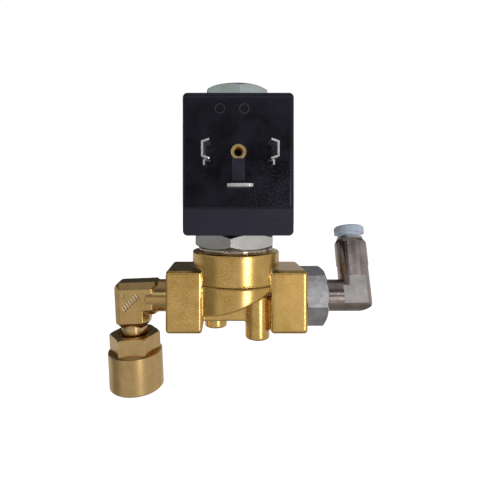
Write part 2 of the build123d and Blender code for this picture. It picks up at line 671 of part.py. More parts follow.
with BuildPart() as outlet_stem:
    hexagon(PORT, STEM_AF, STEM_CORNER, BODY_END_X, STEM_END_X)
    round_off_hexagon(PORT, STEM_AF, BODY_END_X, STEM_END_X, HEX_BEVEL_INSET, start_bevel=False)
    ring(PORT, 0, THREAD_R, BODY_END_X - THREAD_LENGTH, BODY_END_X)
    ring(PORT, 0, STEM_BORE_R, STEM_BORE_X, STEM_END_X, mode=Mode.SUBTRACT)
    ring(PORT, 0, STEM_PASSAGE_R, BODY_END_X - THREAD_LENGTH, STEM_BORE_X, mode=Mode.SUBTRACT)
    clip_half = CLIP_WIRE_R + CLIP_PLAY
    ring(PORT, 0, STEM_CLIP_GROOVE_R, CLIP_X - clip_half, CLIP_X + clip_half, mode=Mode.SUBTRACT)
    ring(
        PORT,
        FACE_RING_R - FACE_RING_WIRE_R,
        FACE_RING_R + FACE_RING_WIRE_R,
        BODY_END_X,
        BODY_END_X + 2 * FACE_RING_WIRE_R,
        mode=Mode.SUBTRACT,
    )
save(outlet_stem, "outlet_stem")

with BuildPart() as stem_port_seal:
    wire_ring(PORT, FACE_RING_R, FACE_RING_WIRE_R, BODY_END_X + FACE_RING_WIRE_R)
save(stem_port_seal, "stem_port_seal")

# The run lies on the port axis and meets the riser on a mitre plane
with BuildPart() as elbow_run:
    ring(PORT, 0, RUN_R, RUN_START_X, OUTLET_X + RISER_R)
    split(bisect_by=OUTLET_MITRE, keep=Keep.BOTTOM)

with BuildPart() as elbow_riser:
    turn(
        OUTLET_LEG,
        (0, -RISER_R),
        (RISER_LOWER_R, -RISER_R),
        (RISER_LOWER_R, RISER_STEP),
        (RISER_R, RISER_STEP),
        (RISER_R, RISER_END),
        (SHOULDER_R, RISER_END + RISER_SHOULDER),
        (0, RISER_END + RISER_SHOULDER),
    )
    split(bisect_by=OUTLET_MITRE, keep=Keep.TOP)

# Prism across the elbow that rounds the outside of its corner
with BuildPart() as corner_limit:
    with BuildSketch(OUTLET_FACE.offset(-RISER_R - 1)) as corner_side:
        reach = RISER_END + RISER_SHOULDER
        with BuildLine():
            Polyline(
                (RUN_START_X - OUTLET_X, -RUN_R),
                (RISER_R, -RUN_R),
                (RISER_R, reach),
                (-RISER_R, reach),
                (-RISER_R, RUN_R),
                (RUN_START_X - OUTLET_X, RUN_R),
                close=True,
            )
        make_face()
        fillet(corner_side.vertices().sort_by(Axis.X)[-2:].sort_by(Axis.Y)[0], RISER_CORNER_R)
    extrude(amount=2 * RISER_R + 2)

with BuildPart() as push_in_elbow:
    add(elbow_run.part)
    add(elbow_riser.part)
    add(corner_limit.part, mode=Mode.INTERSECT)
    # Flats milled on both sides of the corner
    flat_length = FLAT_RUN_END + RISER_R
    flat_height = FLAT_RISER_END + RISER_R
    for side in (-1, 1):
        with BuildSketch(OUTLET_FACE.offset(side * FLAT_DEPTH)):
            with Locations(((RISER_R - FLAT_RUN_END) / 2, (FLAT_RISER_END - RISER_R) / 2)):
                Rectangle(flat_length, flat_height)
        extrude(amount=side * RISER_R, mode=Mode.SUBTRACT)
    # Journal that turns inside the stem, with grooves for its O-ring and its clip
    ring(PORT, 0, JOURNAL_R, JOURNAL_END_X, OUTLET_X)
    ring(
        PORT,
        JOURNAL_RING_FLOOR_R,
        JOURNAL_R,
        JOURNAL_RING_X - JOURNAL_RING_HALF,
        JOURNAL_RING_X + JOURNAL_RING_HALF,
        mode=Mode.SUBTRACT,
    )
    clip_floor_r = CLIP_RING_R - CLIP_WIRE_R
    ring(PORT, clip_floor_r, JOURNAL_R, CLIP_X - CLIP_WIRE_R, CLIP_X + CLIP_WIRE_R, mode=Mode.SUBTRACT)
    ring(PORT, 0, JOURNAL_PASSAGE_R, JOURNAL_END_X, OUTLET_X, mode=Mode.SUBTRACT)
    # Passage, tube socket and cartridge bore of the riser
    turn(
        OUTLET_LEG,
        (0, 0),
        (JOURNAL_PASSAGE_R, 0),
        (JOURNAL_PASSAGE_R, TUBE_STOP),
        (TUBE_R_OUTSIDE, TUBE_STOP),
        (TUBE_R_OUTSIDE, CARTRIDGE_START),
        (CARTRIDGE_R, CARTRIDGE_START),
        (CARTRIDGE_R, RISER_END + RISER_SHOULDER),
        (0, RISER_END + RISER_SHOULDER),
        mode=Mode.SUBTRACT,
    )
save(push_in_elbow, "push_in_elbow")

with BuildPart() as elbow_o_ring:
    wire_r = (STEM_BORE_R - SEAL_GAP - JOURNAL_RING_FLOOR_R) / 2
    wire_ring(PORT, JOURNAL_RING_FLOOR_R + wire_r, wire_r, JOURNAL_RING_X)
save(elbow_o_ring, "elbow_o_ring")

with BuildPart() as elbow_clip:
    wire_ring(PORT, CLIP_RING_R, CLIP_WIRE_R, CLIP_X)
save(elbow_clip, "elbow_clip")

with BuildPart() as tube_seal:
    wire_r = (TUBE_SEAL_END - CARTRIDGE_START) / 2
    wire_ring(OUTLET_LEG, CARTRIDGE_R - wire_r, wire_r, CARTRIDGE_START + wire_r)
save(tube_seal, "tube_seal")

with BuildPart() as grab_ring:
    with BuildSketch(OUTLET_LEG.offset(GRAB_START)):
        Circle(CARTRIDGE_R)
        Circle(TUBE_R_OUTSIDE, mode=Mode.SUBTRACT)
        with PolarLocations(TUBE_R_OUTSIDE + GRAB_SLOT_WIDTH / 2, GRAB_SLOTS):
            Rectangle(COLLET_R - TUBE_R_OUTSIDE, GRAB_SLOT_WIDTH, mode=Mode.SUBTRACT)
    extrude(amount=GRAB_SHEET)
save(grab_ring, "grab_ring")

with BuildPart() as cartridge_sleeve:
    ring(OUTLET_LEG, SLEEVE_BORE_R, CARTRIDGE_R, SLEEVE_START, SLEEVE_END)
save(cartridge_sleeve, "cartridge_sleeve")

with BuildPart() as release_collet:
    turn(
        OUTLET_LEG,
        (TUBE_R_OUTSIDE, COLLET_START),
        (COLLET_R, COLLET_START),
        (COLLET_R, COLLET_FLANGE_START),
        (COLLET_FLANGE_R, COLLET_FLANGE_START),
        (COLLET_FLANGE_R, COLLET_END - COLLET_MOUTH),
        (COLLET_FLANGE_R - COLLET_MOUTH, COLLET_END),
        (TUBE_R_OUTSIDE + COLLET_MOUTH, COLLET_END),
        (TUBE_R_OUTSIDE, COLLET_END - COLLET_MOUTH),
    )
save(release_collet, "release_collet")
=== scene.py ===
"""The looks of a solenoid valve with a swivel-socket inlet elbow and a push-in outlet elbow."""
import json
from collections import namedtuple
from math import cos, pi, radians, sin

import bmesh
import bpy
from mathutils import Matrix, Vector


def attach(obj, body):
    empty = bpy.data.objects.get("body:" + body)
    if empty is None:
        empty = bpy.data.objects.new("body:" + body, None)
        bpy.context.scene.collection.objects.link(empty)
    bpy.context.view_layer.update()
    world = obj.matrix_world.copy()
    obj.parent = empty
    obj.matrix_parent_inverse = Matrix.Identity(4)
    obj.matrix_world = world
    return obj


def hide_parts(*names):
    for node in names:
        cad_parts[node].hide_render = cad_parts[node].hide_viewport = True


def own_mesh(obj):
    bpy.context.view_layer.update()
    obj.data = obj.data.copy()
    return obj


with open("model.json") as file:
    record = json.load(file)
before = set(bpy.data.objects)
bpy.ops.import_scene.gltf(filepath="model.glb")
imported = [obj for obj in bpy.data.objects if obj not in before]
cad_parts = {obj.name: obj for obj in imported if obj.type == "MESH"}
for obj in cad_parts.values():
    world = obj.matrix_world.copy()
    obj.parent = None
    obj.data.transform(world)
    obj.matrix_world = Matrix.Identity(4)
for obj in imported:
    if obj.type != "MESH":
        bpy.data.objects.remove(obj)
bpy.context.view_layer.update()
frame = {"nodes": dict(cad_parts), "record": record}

NODES = frame["nodes"]
MM = 0.001

# ---- The places that the CAD part states, in millimetres ----------------------------------

LEAN, BACK, TILT = radians(2.2), radians(2.5), radians(19.0)
INLET_CORNER = Vector((-34.2, 0, 11.65))
INLET_DOWN = Vector((sin(LEAN) * cos(BACK), sin(BACK), -cos(LEAN) * cos(BACK)))
INLET_ALONG = Vector((cos(LEAN), 0, sin(LEAN)))
INLET_FORWARD = Vector((sin(LEAN) * sin(BACK), -cos(BACK), -cos(LEAN) * sin(BACK)))
PORT_Z = 12.05
OUTLET_CORNER = Vector((39.75, 0, PORT_Z))
RISER_FRONT = Vector((0, -cos(TILT), sin(TILT)))
FLAT_DEPTH = 4.35
COIL_FRONT_Y = -24.7
BAND_TOP_Z = 41.7
INSERT_Z = 56.7
BOSS_SITES = {"front": (6.7, -6.0, 0), "back": (-6.7, 6.0, 0)}

# ---- Sizes of the pieces that only the looks need, in millimetres ------------------------------

NECK_OUTLINE = ((4.0, 9.2), (4.19, 9.35), (4.19, 14.0), (4.0, 14.1))
SOCKET_THREAD = dict(root_r=5.75, crest_r=5.2, pitch=1.337, start=21.4, end=29.4, sides=72)
BOSS_THREAD = dict(root_r=1.65, crest_r=1.42, pitch=0.7, start=0.4, end=6.2, sides=48)
INSERT_THREAD = dict(root_r=1.25, crest_r=1.13, pitch=0.5, start=0.9, end=6.6, sides=48)
INSERT_PROUD = 0.6

BAR_COUNT, BAR_PITCH = 7, 1.02
BAR_LENGTH, SHORT_BAR_LENGTH, BAR_WIDTH = 1.8, 1.1, 0.5
BAR_HEIGHT, SHORT_BAR_HEIGHT = 0.42, 0.38
BAR_ANGLE, SHORT_BAR_ANGLE = radians(122), radians(112)
BAR_ROW_CENTRE, BAR_ROW_SLOPE = (0.15, -0.55), (0.72, 0.66)
SHORT_BAR_PLACE = (-2.2, 1.75)
BAR_FLOOR = 4.98
# The painted shadow beside each elbow bar: its shift, and its height as a share of the bar's
SHADOW_DROP, SHADOW_SCALE = 0.3, 0.35

COIL_RIB_TOP_Z, COIL_RIB_FOOT_Z = 54.9, 47.75
COIL_RIB_BACK = (1.9, -0.1, -0.1)
COIL_RIB_FACE = (1.75, 0.62, 0.30)
LIP_R, LIP_LENGTH, LIP_INSET, LIP_RISE = 0.45, 29.6, 0.4, 0.05
RING_OUTLINE = ((1.1, -0.05), (1.16, 0.12), (1.38, 0.12), (1.44, -0.05))
RING_SITES = {"left": -5.0, "right": 1.6}
RING_Z = 68.4

# ---- Studio: the brightness of each part of the room, and its light and camera, in metres ------

FRONT_WALL, FRONT_PATCH, FRONT_TOP = 0.12, 1.30, 0.10
LEFT_WALL, LEFT_TOP, RIGHT_WALL, RIGHT_TOP = 0.50, 0.06, 0.62, 0.34
BACK_LEFT, BACK_RIGHT, BACK_TOP, CEILING = 0.05, 0.42, 0.08, 0.34
TABLE_FAR, TABLE_LEFT, TABLE_BELOW = 0.60, 0.26, 0.25
WARM_LOW, COOL_HIGH = (1, 0.985, 0.965, 1), (0.95, 0.97, 1, 1)
FLOOR_Z, FLOOR_HALF, FLOOR_GLOW = -0.030, 6.0, 0.9
WINDOW_PLACE, WINDOW_AIM = (1.16, -2.20, -0.33), (0, 0, 0.03)
WINDOW_SIZE, WINDOW_POWER, WINDOW_COLOUR = (0.40, 0.86), 12.5, (1.0, 0.99, 0.96)
CAMERA_PLACE = (-0.0039, -0.133, 0.04365)
CAMERA_LENS, CAMERA_SENSOR = 30.0, 36.0
CAMERA_SHIFT = (1 / 30, -1 / 12)
CAMERA_NEAR = 0.01

# ---- Materials -----------------------------------------------------------------------------

MIX_FACTOR, MIX_A, MIX_B, MIX_COLOUR_A, MIX_COLOUR_B = 0, 2, 3, 6, 7
BLUE_SHEEN = (0.80, 0.80, 1.0, 1.0)
Finish = namedtuple("Finish", "dark light rough grain bump stretch")


def add_node(tree, kind, inputs, **attributes):
    """Adds a shader node. Each input is linked if it is given a socket, or else set."""
    made = tree.nodes.new(kind)
    for name, value in attributes.items():
        setattr(made, name, value)
    for key, value in inputs.items():
        if isinstance(value, bpy.types.NodeSocket):
            tree.links.new(value, made.inputs[key])
        else:
            made.inputs[key].default_value = value
    return made


class Look:
    """Builds one procedural material, node by node. Its places are metres in the part's frame."""

    def __init__(self, name, **settings):
        self.material = bpy.data.materials.new(name)
        self.material.use_nodes = True
        self.tree = self.material.node_tree
        self.tree.nodes.clear()
        output = self.tree.nodes.new("ShaderNodeOutputMaterial")
        self.shader = self.tree.nodes.new("ShaderNodeBsdfPrincipled")
        self.tree.links.new(self.shader.outputs["BSDF"], output.inputs["Surface"])
        self.place = self.tree.nodes.new("ShaderNodeTexCoord").outputs["Object"]
        for socket, value in settings.items():
            self.shader.inputs[socket.replace("_", " ")].default_value = value

    def node(self, kind, inputs, **attributes):
        return add_node(self.tree, kind, inputs, **attributes)

    def noise(self, per_mm, detail=3.0, roughness=0.55, vector=None, distortion=0.0):
        inputs = {
            "Vector": vector or self.place,
            "Scale": per_mm / MM,
            "Detail": detail,
            "Roughness": roughness,
            "Distortion": distortion,
        }
        return self.node("ShaderNodeTexNoise", inputs).outputs["Fac"]

    def cells(self, per_mm):
        inputs = {"Vector": self.place, "Scale": per_mm / MM}
        return self.node("ShaderNodeTexVoronoi", inputs).outputs["Distance"]

    def dot(self, vector, axis):
        """Distance of a place along an axis."""
        inputs = {0: vector, 1: tuple(axis)}
        made = self.node("ShaderNodeVectorMath", inputs, operation="DOT_PRODUCT")
        return made.outputs["Value"]

    def along(self, axis):
        """Distance along an axis, as a vector that is the same all round it."""
        return self.node("ShaderNodeCombineXYZ", {0: self.dot(self.place, axis)}).outputs[0]

    def stretched(self, scale):
        """The place with each axis scaled by its own factor, for drawn or brushed grain."""
        inputs = {"Vector": self.place, "Scale": scale}
        return self.node("ShaderNodeMapping", inputs).outputs["Vector"]

    def span(self, value, low, high, to_low, to_high):
        """Maps low..high to to_low..to_high, clamped."""
        inputs = {0: value, 1: low, 2: high, 3: to_low, 4: to_high}
        return self.node("ShaderNodeMapRange", inputs).outputs[0]

    def mix(self, factor, first, second):
        """Mixes two colours, each a socket or an RGB value."""
        first, second = (
            colour if isinstance(colour, bpy.types.NodeSocket) else (*colour, 1.0)
            for colour in (first, second)
        )
        inputs = {MIX_FACTOR: factor, MIX_COLOUR_A: first, MIX_COLOUR_B: second}
        return self.node("ShaderNodeMix", inputs, data_type="RGBA").outputs[2]

    def blend(self, factor, first, second):
        """Mixes two numbers."""
        inputs = {MIX_FACTOR: factor, MIX_A: first, MIX_B: second}
        return self.node("ShaderNodeMix", inputs).outputs[0]

    def sum(self, first, second, operation="ADD"):
        return self.node("ShaderNodeMath", {0: first, 1: second}, operation=operation).outputs[0]

    def size(self, value):
        """A number without its sign."""
        return self.node("ShaderNodeMath", {0: value}, operation="ABSOLUTE").outputs[0]

    def bump(self, height, depth_mm):
        inputs = {"Height": height, "Distance": depth_mm * MM, "Strength": 1.0}
        return self.node("ShaderNodeBump", inputs).outputs["Normal"]

    def feed(self, **sockets):
        for socket, value in sockets.items():
            self.tree.links.new(value, self.shader.inputs[socket.replace("_", " ")])
        return self


def cast_metal(name, dark, mid, light, rough, grain, depth):
    """Tumbled casting: pitted skin, mottled colour, a few brighter rubbed grains."""
    look = Look(name, Metallic=1.0)
    mottle = look.noise(0.22, detail=5)
    fine = look.noise(grain, detail=3, roughness=0.65)
    pits = look.cells(grain * 0.9)
    body = look.mix(look.span(mottle, 0.35, 0.68, 0, 1), dark, mid)
    colour = look.mix(look.span(fine, 0.46, 0.72, 0, 0.85), body, light)
    rougher = look.span(fine, 0.3, 0.7, rough + 0.12, rough - 0.04)
    height = look.sum(look.span(fine, 0.2, 0.8, 0, 1), look.span(pits, 0.0, 0.5, -0.35, 0))
    return look.feed(Base_Color=colour, Roughness=rougher, Normal=look.bump(height, depth))


def turned_metal(name, dark, light, rough, axis, depth=0.006, stain=0.0):
    """Lathe-turned metal: fine rings round the axis, with a faint stain over them."""
    look = Look(name, Metallic=1.0)
    rings = look.noise(5.0, detail=4, roughness=0.7, vector=look.along(axis))
    patches = look.noise(0.35, detail=4)
    specks = look.noise(3.2, detail=2)
    factor = look.sum(look.span(patches, 0.3, 0.7, 0, 0.7), look.span(rings, 0.3, 0.7, 0, 0.3))
    base = look.mix(factor, dark, light)
    stained = tuple(0.55 * c for c in dark)
    colour = look.mix(look.span(specks, 0.58, 0.75, 0, stain), base, stained)
    ringed = look.span(rings, 0.3, 0.7, rough - 0.03, rough + 0.08)
    rougher = look.sum(ringed, look.span(patches, 0.3, 0.7, 0.05, 0))
    return look.feed(Base_Color=colour, Roughness=rougher, Normal=look.bump(rings, depth))


def plated_metal(name, dark, light, rough, grain=2.6, depth=0.01, scratch=0.4):
    """Plated and handled metal: a slightly grainy coat with fine random scratches."""
    look = Look(name, Metallic=1.0)
    cloud = look.noise(0.3, detail=5)
    fine = look.noise(grain, detail=3, roughness=0.6)
    marks = look.noise(1.4, detail=4, roughness=0.75, vector=look.stretched((9.0, 9.0, 0.9)))
    base = look.mix(look.span(cloud, 0.32, 0.7, 0, 1), dark, light)
    bare = tuple(min(1, 1.35 * c) for c in light)
    colour = look.mix(look.span(marks, 0.6, 0.72, 0, scratch), base, bare)
    grainy = look.span(fine, 0.3, 0.7, rough + 0.06, rough - 0.04)
    rougher = look.sum(grainy, look.span(marks, 0.6, 0.75, 0, 0.1))
    height = look.sum(fine, look.span(marks, 0.55, 0.8, 0, 0.6))
    return look.feed(Base_Color=colour, Roughness=rougher, Normal=look.bump(height, depth))


def two_finishes(name, plain, special, axis, origin, reach, milled=False):
    """One metal with a second finish beyond a plane across an axis, or just on two milled flats.

    The plane, and each flat on either side, stands off the origin by the reach in millimetres.
    """
    look = Look(name, Metallic=1.0)
    inputs = {0: look.place, 1: tuple(Vector(origin) * MM)}
    offset = look.node("ShaderNodeVectorMath", inputs, operation="SUBTRACT").outputs[0]
    depth = look.dot(offset, axis)
    if milled:
        off_flat = look.size(look.sum(look.size(depth), reach * MM, "SUBTRACT"))
        mask = look.span(off_flat, 0.02 * MM, 0.04 * MM, 1, 0)
    else:
        mask = look.span(depth, (reach - 0.01) * MM, (reach + 0.01) * MM, 0, 1)
    colours, roughs, heights = [], [], []
    for finish in (plain, special):
        cloud = look.noise(0.3, detail=5)
        vector = look.stretched(finish.stretch)
        fine = look.noise(finish.grain, detail=3, roughness=0.6, vector=vector)
        factor = look.sum(look.span(cloud, 0.3, 0.7, 0, 0.6), look.span(fine, 0.35, 0.7, 0, 0.4))
        colours.append(look.mix(factor, finish.dark, finish.light))
        roughs.append(look.span(fine, 0.3, 0.7, finish.rough + 0.05, finish.rough - 0.03))
        heights.append(look.sum(fine, finish.bump, "MULTIPLY"))
    return look.feed(
        Base_Color=look.mix(mask, *colours),
        Roughness=look.blend(mask, *roughs),
        Normal=look.bump(look.blend(mask, *heights), 0.05),
    )


def moulded(name, dark, light, rough, grain, depth, **settings):
    """Moulded plastic, resin or rubber: a fine even texture with handling smears in its gloss."""
    look = Look(name, **settings)
    fine = look.noise(grain, detail=3, roughness=0.6)
    smear = look.noise(0.16, detail=5, distortion=0.6)
    dust = look.noise(4.5, detail=2)
    factor = look.sum(look.span(smear, 0.35, 0.7, 0, 0.8), look.span(dust, 0.66, 0.78, 0, 0.5))
    smeared = look.span(smear, 0.3, 0.7, rough - 0.07, rough + 0.09)
    rougher = look.sum(smeared, look.span(fine, 0.3, 0.7, 0, 0.06))
    colour = look.mix(factor, dark, light)
    return look.feed(Base_Color=colour, Roughness=rougher, Normal=look.bump(fine, depth))


def coil_resin():
    """Glossy black resin: a painted top-edge highlight, lighter specks low right, faint scratches.

    The band below the connector pad is painted a little lighter, as a painted reflection.
    """
    look = Look("coil_resin", IOR=1.40, Specular_Tint=BLUE_SHEEN)
    x, _, z = look.node("ShaderNodeSeparateXYZ", {0: look.place}).outputs
    smear = look.noise(0.14, detail=5, distortion=0.6)
    grain = look.noise(1.7, detail=3, roughness=0.65)
    lengthwise = look.stretched((1.0, 1.0, 0.12))
    scratch = look.noise(0.9, detail=4, roughness=0.8, vector=lengthwise)
    # Lighter, rougher specks, more of them towards the lower right
    to_right = look.span(x, -4 * MM, 9 * MM, 0, 1)
    lower_right = look.sum(to_right, look.span(z, 60 * MM, 46 * MM, 0, 1), "MULTIPLY")
    specks = look.sum(look.span(grain, 0.50, 0.66, 0, 1), lower_right, "MULTIPLY")
    # Painted highlight: the top edge is coloured lighter, broken up by the grain
    top_edge_highlight = look.span(z, 71.0 * MM, 72.2 * MM, 0, 0.8)
    top_highlight = look.sum(top_edge_highlight, look.span(grain, 0.35, 0.6, 0.6, 1), "MULTIPLY")
    # Painted reflection: the band below the connector pad is coloured lighter
    band = look.span(z, (BAND_TOP_Z - 0.2) * MM, BAND_TOP_Z * MM, 0.75, 0)
    painted_sheen_and_specks = look.sum(top_highlight, look.sum(specks, band, "MAXIMUM"), "MAXIMUM")
    smeared = look.span(smear, 0.42, 0.72, 0, 1)
    body = look.mix(smeared, (0.0008, 0.0005, 0.0016), (0.0060, 0.0058, 0.0110))
    lightened = look.mix(painted_sheen_and_specks, body, (0.028, 0.028, 0.046))
    colour = look.mix(look.span(scratch, 0.64, 0.74, 0, 0.7), lightened, (0.022, 0.023, 0.038))
    rougher = look.sum(look.span(smear, 0.35, 0.7, 0.20, 0.34), look.span(specks, 0, 1, 0, 0.12))
    return look.feed(Base_Color=colour, Roughness=rougher, Normal=look.bump(grain, 0.016))


CAST_BRASS = cast_metal(
    "cast_brass", (0.56, 0.335, 0.085), (0.72, 0.46, 0.15), (0.86, 0.61, 0.26),
    rough=0.21, grain=3.0, depth=0.009,
)
FORGED_BRASS = cast_metal(
    "forged_brass", (0.52, 0.33, 0.115), (0.64, 0.42, 0.17), (0.76, 0.53, 0.26),
    rough=0.20, grain=3.2, depth=0.008,
)
TURNED_BRASS = turned_metal(
    "turned_brass", (0.54, 0.355, 0.15), (0.70, 0.48, 0.22),
    rough=0.24, axis=INLET_DOWN, stain=0.5,
)
NECK_BRASS = turned_metal(
    "neck_brass", (0.55, 0.38, 0.17), (0.72, 0.52, 0.26), rough=0.14, axis=INLET_DOWN,
)
# Near-white brass on the elbow's raised bars: a painted highlight
HIGHLIT_RIB_BRASS = cast_metal(
    "highlit_rib_brass", (0.90, 0.78, 0.52), (0.96, 0.88, 0.66), (0.98, 0.94, 0.80),
    rough=0.34, grain=3.2, depth=0.012,
)
# Dark brass for low copies of the elbow's bars: a painted shadow beside each bar
PAINTED_SHADOW_BRASS = cast_metal(
    "painted_shadow_brass", (0.20, 0.12, 0.05), (0.28, 0.17, 0.07), (0.40, 0.26, 0.12),
    rough=0.4, grain=3.2, depth=0.012,
)
INSERT_BRASS = turned_metal(
    "insert_brass", (0.70, 0.48, 0.18), (0.86, 0.66, 0.32), rough=0.2, axis=(0, 1, 0),
)
NICKEL = plated_metal(
    "nickel_plate", (0.50, 0.48, 0.46), (0.70, 0.69, 0.67), rough=0.34, depth=0.012, scratch=0.3,
)
DARK_NICKEL = plated_metal(
    "dark_nickel", (0.50, 0.46, 0.46), (0.80, 0.78, 0.78), rough=0.22, grain=4.0, depth=0.012,
)
ZINC = plated_metal(
    "zinc_plate", (0.52, 0.58, 0.50), (0.62, 0.70, 0.74), rough=0.24, depth=0.006,
)
TIN = plated_metal(
    "tinned_brass", (0.72, 0.72, 0.72), (0.95, 0.95, 0.95), rough=0.30, depth=0.006,
)
STAINLESS = turned_metal(
    "stainless", (0.46, 0.45, 0.44), (0.60, 0.60, 0.59), rough=0.25, axis=(0, 0, 1),
)
SPRING_STEEL = plated_metal("spring_steel", (0.36, 0.36, 0.37), (0.55, 0.55, 0.56), rough=0.25)
YOKE_STEEL = plated_metal("yoke_steel", (0.22, 0.22, 0.23), (0.36, 0.36, 0.37), rough=0.4)
COPPER = turned_metal(
    "copper", (0.50, 0.20, 0.09), (0.72, 0.34, 0.17), rough=0.3, axis=(0, 0, 1), depth=0.04,
)
RESIN = coil_resin()
RIB_RESIN = moulded(
    "rib_resin", (0.010, 0.010, 0.018), (0.020, 0.020, 0.032),
    rough=0.28, grain=1.0, depth=0.004, IOR=1.5, Specular_Tint=BLUE_SHEEN,
)
DUSTY_RESIN = moulded(
    "dusty_resin", (0.028, 0.028, 0.040), (0.060, 0.060, 0.080),
    rough=0.4, grain=1.8, depth=0.01, IOR=1.45,
)
BOBBIN = moulded(
    "bobbin_plastic", (0.62, 0.58, 0.50), (0.74, 0.71, 0.64), rough=0.45, grain=2.0, depth=0.01,
)
RUBBER = moulded(
    "seal_rubber", (0.010, 0.010, 0.011), (0.028, 0.028, 0.03), rough=0.55, grain=3.0, depth=0.012,
)
COLLET = moulded(
    "collet_plastic", (0.64, 0.73, 0.88), (0.82, 0.90, 0.99),
    rough=0.3, grain=1.2, depth=0.005,
    Subsurface_Weight=0.35, Subsurface_Scale=0.003, IOR=1.48,
)

# The push-in elbow's bright plate, and the two flats milled on its corner
ELBOW_NICKEL = two_finishes(
    "elbow_nickel",
    Finish((0.28, 0.215, 0.195), (0.54, 0.465, 0.435), 0.20, 2.6, 0.08, (1, 1, 1)),
    Finish((0.40, 0.36, 0.34), (0.74, 0.70, 0.68), 0.30, 4.6, 1.3, (1, 1, 1)),
    RISER_FRONT, OUTLET_CORNER, FLAT_DEPTH, milled=True,
)
# The guide's hexagon, and the darker turned collar below it
GUIDE_NICKEL = two_finishes(
    "guide_nickel",
    Finish((0.50, 0.49, 0.48), (0.68, 0.67, 0.66), 0.22, 2.8, 0.5, (1, 1, 1)),
    Finish((0.34, 0.28, 0.23), (0.62, 0.55, 0.47), 0.1, 1.2, 0.1, (1, 1, 0.2)),
    (0, 0, -1), (0, 0, 28.2), -0.02,
)

FINISHES = {
    "cast_brass": CAST_BRASS, "forged_brass": FORGED_BRASS, "turned_brass": TURNED_BRASS,
    "insert_brass": INSERT_BRASS, "nickel_plate": NICKEL, "dark_nickel": DARK_NICKEL,
    "zinc_plate": ZINC, "tinned_brass": TIN, "stainless": STAINLESS, "spring_steel": SPRING_STEEL,
    "yoke_steel": YOKE_STEEL, "copper": COPPER, "coil_resin": RESIN, "bobbin_plastic": BOBBIN,
    "collet_plastic": COLLET, "seal_rubber": RUBBER,
}

# ---- Mesh helpers ---------------------------------------------------------------------------

WELD_DISTANCE = 0.000002


def place_on(origin, direction, across=(1, 0, 0)):
    """A matrix that puts local Z along a direction, with its origin at a point in millimetres."""
    up = Vector(direction).normalized()
    side = Vector(across)
    side = (side - up * side.dot(up)).normalized()
    turned = Matrix((side, up.cross(side), up)).transposed().to_4x4()
    turned.translation = Vector(origin) * MM
    return turned


def piece(name, mesh_builder, finish, body, where=None):
    """Makes one object from a bmesh in millimetres, shades it, and lets it ride on its body."""
    mesh = bpy.data.meshes.new(name)
    bm = bmesh.new()
    mesh_builder(bm)
    bmesh.ops.scale(bm, vec=(MM, MM, MM), verts=bm.verts)
    if where is not None:
        bmesh.ops.transform(bm, matrix=where, verts=bm.verts)
    bmesh.ops.recalc_face_normals(bm, faces=bm.faces)
    bm.to_mesh(mesh)
    bm.free()
    made = bpy.data.objects.new(name, mesh)
    bpy.context.scene.collection.objects.link(made)
    mesh.shade_smooth()
    mesh.set_sharp_from_angle(angle=radians(35))
    made.data.materials.append(finish.material)
    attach(made, body)


def skin(bm, low, high):
    """Joins two closed rows of points with a band of faces."""
    for i in range(len(low)):
        j = (i + 1) % len(low)
        bm.faces.new((low[i], low[j], high[j], high[i]))


def lathe(bm, outline, sides=128):
    """Revolves a closed outline of (radius, height) points about Z, into a solid ring."""
    angles = [2 * pi * i / sides for i in range(sides)]
    rings = [
        [bm.verts.new((radius * cos(angle), radius * sin(angle), height)) for angle in angles]
        for radius, height in outline
    ]
    for low, high in zip(rings, rings[1:] + rings[:1]):
        skin(bm, low, high)


def thread(bm, root_r, crest_r, pitch, start, end, sides):
    """A helical ridge of trapezoid section between two radii, the ridge standing on root_r.

    It fades in and out over a third of a turn, and its foot is sunk a little into the wall.
    """
    half_foot, half_crest, sink = 0.44, 0.07, 0.05
    least_height, least_width = 0.02, 0.1
    foot_r = root_r - (sink if crest_r > root_r else -sink)
    section = (
        (foot_r, -half_foot), (crest_r, -half_crest), (crest_r, half_crest), (foot_r, half_foot),
    )
    steps = int((end - start) / pitch * sides)
    rows = []
    for step in range(steps + 1):
        angle = 2 * pi * step / sides
        fade = min(1.0, step / (sides / 3), (steps - step) / (sides / 3))
        row = []
        for radius, offset in section:
            faded = foot_r + (radius - foot_r) * max(fade, least_height)
            height = start + pitch * step / sides + offset * pitch * max(fade, least_width)
            row.append(bm.verts.new((faded * cos(angle), faded * sin(angle), height)))
        rows.append(row)
    for low, high in zip(rows, rows[1:]):
        skin(bm, low, high)
    bm.faces.new(rows[0])
    bm.faces.new(rows[-1])


def rounded_bar(bm, centre, length, width, height, angle):
    """A raised bar with round ends and a domed top, lying in the XY plane."""
    steps = 10
    turned = Matrix.Rotation(angle, 3, "Z")
    rows = []
    for shrink, level in ((1.0, -0.15), (0.92, height * 0.6), (0.6, height)):
        row = []
        for side, x0 in ((0, 0.5), (1, -0.5)):
            for i in range(steps + 1):
                turn = -pi / 2 + pi * i / steps + pi * side
                x = x0 * (length - width) + shrink * width / 2 * cos(turn)
                y = shrink * width / 2 * sin(turn)
                row.append(bm.verts.new(turned @ Vector((x, y, level)) + Vector(centre)))
        rows.append(row)
    for low, high in zip(rows, rows[1:]):
        skin(bm, low, high)
    bm.faces.new(rows[-1])


def forged_ribs(bm, drop=0.0, scale=1.0):
    """Plain raised bars in a slanting row, with a shorter one above it."""
    # Shifted by drop and flattened by scale, the same bars make the painted shadow beside them
    for i in range(BAR_COUNT):
        step = (i - BAR_COUNT // 2) * BAR_PITCH
        x, y = (c + step * s for c, s in zip(BAR_ROW_CENTRE, BAR_ROW_SLOPE))
        height = BAR_HEIGHT * scale
        rounded_bar(bm, (x + drop, y - drop, 0), BAR_LENGTH, BAR_WIDTH, height, BAR_ANGLE)
    x, y = SHORT_BAR_PLACE
    height = SHORT_BAR_HEIGHT * scale
    rounded_bar(bm, (x + drop, y - drop, 0), SHORT_BAR_LENGTH, BAR_WIDTH, height, SHORT_BAR_ANGLE)


